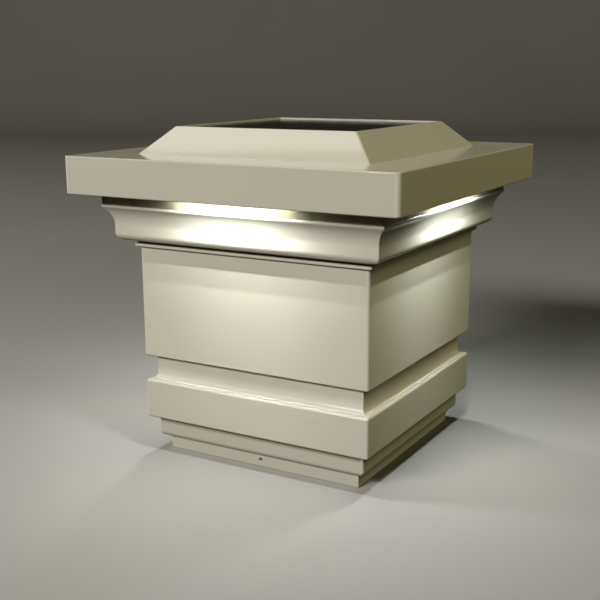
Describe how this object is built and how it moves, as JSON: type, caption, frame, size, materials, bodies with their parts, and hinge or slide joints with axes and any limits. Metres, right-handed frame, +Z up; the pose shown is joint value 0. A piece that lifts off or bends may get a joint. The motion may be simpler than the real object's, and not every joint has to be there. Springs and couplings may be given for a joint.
{
  "type": "solar fence post cap",
  "caption": "Tiered square cap that slides over a vinyl fence post, with a solar panel in its pyramid top and lights under the slab that wash down over the moulded crown and sleeve.",
  "frame": {"origin": "centre of the column's bottom rim, which is also the bottom centre of the whole object", "axes": "+Z up along the post, -Y towards the front face with one of the two post screw holes, +X to the right seen from the front"},
  "size_m": [0.22, 0.22, 0.2072],
  "materials": {
    "tan_plastic": "satin moulded vinyl, light tan",
    "screw_steel": "zinc-plated steel",
    "rubber_seal": "matt rubber",
    "foam_pad": "closed-cell foam",
    "panel_backing": "white backing sheet",
    "solar_cell": "dark silicon with fine silver lines",
    "panel_glass": "clear glossy cover",
    "frosted_lens": "frosted plastic",
    "circuit_board": "solder-masked circuit board",
    "led_chip": "yellow phosphor",
    "black_chip": "moulded epoxy",
    "dark_plastic": "black moulded plastic",
    "battery_sleeve": "shrink sleeve",
    "contact_metal": "nickel-plated spring steel",
    "knob_plastic": "light grey plastic",
    "red_lead": "flexible insulation",
    "black_lead": "flexible insulation"
  },
  "bodies": {
    "column": {"base_skirt": "tan_plastic", "base_band": "tan_plastic", "neck_ring": "tan_plastic", "body_sleeve": "tan_plastic", "flange_plate": "tan_plastic", "crown_moulding": "tan_plastic", "post_stop": "tan_plastic", "corner_guides": "tan_plastic", "crown_screws": "screw_steel"},
    "light_unit": {"top_slab": "tan_plastic", "underside_plate": "tan_plastic", "seat_collar": "tan_plastic", "seat_gasket": "rubber_seal", "pyramid_frame": "tan_plastic", "panel_gasket": "rubber_seal", "panel_board": "panel_backing", "solar_cells": "solar_cell", "panel_window": "panel_glass", "frame_screws": "screw_steel", "underside_screws": "screw_steel", "lens_front": "frosted_lens", "lens_right": "frosted_lens", "lens_back": "frosted_lens", "lens_left": "frosted_lens", "led_board_front": "circuit_board", "led_board_right": "circuit_board", "led_board_back": "circuit_board", "led_board_left": "circuit_board", "led_chips": "led_chip", "led_board_screws": "screw_steel", "control_board": "circuit_board", "control_chips": "black_chip", "control_board_screws": "screw_steel", "battery_box": "dark_plastic", "battery_cell_front": "battery_sleeve", "battery_cell_back": "battery_sleeve", "battery_contacts": "contact_metal", "switch_body": "dark_plastic", "door_hinge_pin": "screw_steel", "panel_leads": "red_lead", "battery_leads": "red_lead", "switch_leads": "black_lead", "led_leads": "black_lead"},
    "battery_door": {"battery_door": "tan_plastic", "battery_pad": "foam_pad"},
    "switch_knob": {"switch_knob": "knob_plastic"}
  },
  "joints": [
    {"name": "light_unit_lift", "type": "slide", "parent": "column", "child": "light_unit", "axis": [0, 0, 1], "range_m": [0, 0.06]},
    {"name": "battery_door_hinge", "type": "hinge", "parent": "light_unit", "child": "battery_door", "pos_m": [-0.03, -0.021, 0.169], "axis": [-1, 0, 0], "range_deg": [0, 95]},
    {"name": "switch_slide", "type": "slide", "parent": "light_unit", "child": "switch_knob", "axis": [1, 0, 0], "range_m": [0, 0.004]}
  ]
}
